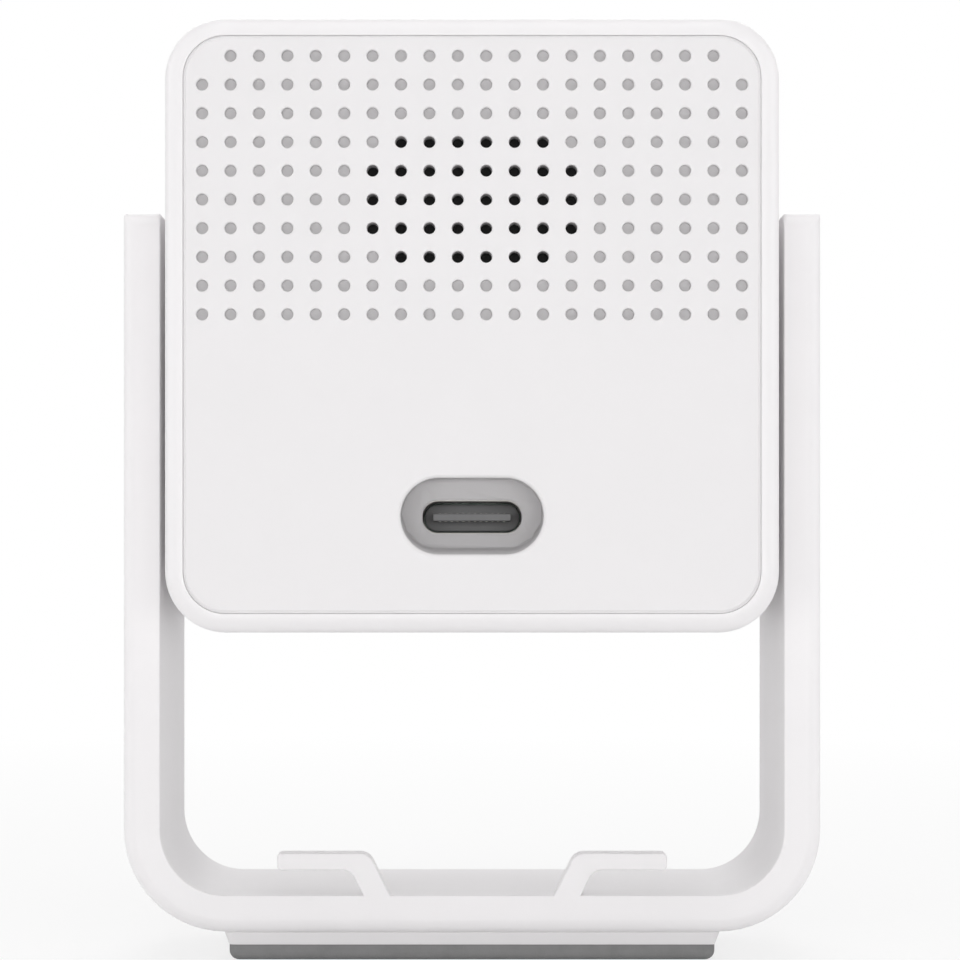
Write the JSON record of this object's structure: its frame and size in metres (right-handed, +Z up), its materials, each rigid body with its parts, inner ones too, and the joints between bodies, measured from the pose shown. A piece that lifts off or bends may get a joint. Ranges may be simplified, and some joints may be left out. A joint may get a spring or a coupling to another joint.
{
  "type": "pet camera",
  "caption": "Cube-shaped pet camera with a speaker grid and a recessed cable socket at the rear, tilting between the arms of a U-shaped stand on a small rubber foot.",
  "frame": {"origin": "bottom centre of the foot, on the surface that the camera stands on", "axes": "+Z up, -Y the way the lens looks at rest, +Y towards the cable socket, +X across the arms, along the tilt axis"},
  "size_m": [0.0612, 0.053, 0.0806],
  "materials": {
    "stand_white": "fine satin moulding",
    "shell_white": "fine satin moulding",
    "cover_white": "fine satin moulding",
    "foot_grey": "satin moulding",
    "foot_rubber": "matt non-slip rubber",
    "window_black": "polished acrylic",
    "ring_black": "polished with turned grooves",
    "inner_black": "moulded",
    "tongue_grey": "moulded",
    "button_grey": "moulded",
    "washer_plastic": "waxy",
    "foam_black": "foam",
    "cloth_black": "fine acoustic mesh",
    "cone_paper": "coated paper",
    "lens_glass": "coated lens",
    "filter_glass": "coated filter",
    "clear_plastic": "clear epoxy",
    "board_green": "solder resist",
    "chip_black": "moulded epoxy",
    "film_amber": "polyimide film",
    "thermal_grey": "soft silicone",
    "spreader_aluminium": "rolled sheet",
    "bright_metal": "nickel plated",
    "screw_steel": "zinc plated"
  },
  "bodies": {
    "stand": {"foot_pad": "foot_rubber", "foot_plate": "foot_grey", "foot_screw_left": "screw_steel", "foot_screw_right": "screw_steel", "yoke": "stand_white", "pivot_stud_left": "screw_steel", "pivot_stud_right": "screw_steel", "friction_washer_left": "washer_plastic", "friction_washer_right": "washer_plastic", "tilt_stop": "screw_steel", "pivot_nut_left": "bright_metal", "pivot_nut_right": "bright_metal"},
    "head": {"housing": "shell_white", "rear_cover": "cover_white", "front_window": "window_black", "window_tape": "foam_black", "front_frame": "inner_black", "housing_screw_1": "screw_steel", "housing_screw_2": "screw_steel", "housing_screw_3": "screw_steel", "housing_screw_4": "screw_steel", "lens_ring": "ring_black", "light_baffle": "foam_black", "lens_glass": "lens_glass", "lens_barrel": "inner_black", "lens_holder": "inner_black", "infrared_filter": "filter_glass", "image_sensor": "chip_black", "sensor_board": "board_green", "sensor_screw_left": "screw_steel", "sensor_screw_right": "screw_steel", "led_board": "board_green", "infrared_led_1": "clear_plastic", "infrared_led_2": "clear_plastic", "infrared_led_3": "clear_plastic", "infrared_led_4": "clear_plastic", "light_sensor": "clear_plastic", "status_led": "clear_plastic", "light_pipe": "clear_plastic", "microphone": "bright_metal", "main_board": "board_green", "main_board_screw_1": "screw_steel", "main_board_screw_2": "screw_steel", "main_board_screw_3": "screw_steel", "main_board_screw_4": "screw_steel", "processor": "chip_black", "thermal_pad": "thermal_grey", "heat_spreader": "spreader_aluminium", "radio_shield": "bright_metal", "antenna": "film_amber", "usb_shell": "bright_metal", "usb_tongue": "tongue_grey", "grille_cloth": "cloth_black", "speaker_frame": "inner_black", "speaker_cone": "cone_paper", "speaker_magnet": "bright_metal", "camera_ribbon": "film_amber", "reset_switch": "chip_black"},
    "button": {"reset_button": "button_grey", "reset_plunger": "inner_black"}
  },
  "joints": [
    {"name": "head_tilt", "type": "hinge", "parent": "stand", "child": "head", "pos_m": [0, 0, 0.0549], "axis": [1, 0, 0], "range_deg": [-90, 90]},
    {"name": "reset_press", "type": "slide", "parent": "head", "child": "button", "axis": [0, 0, 1], "range_m": [0, 0.0005], "stiffness_N_per_m": 800, "springref_m": -0.0005}
  ]
}
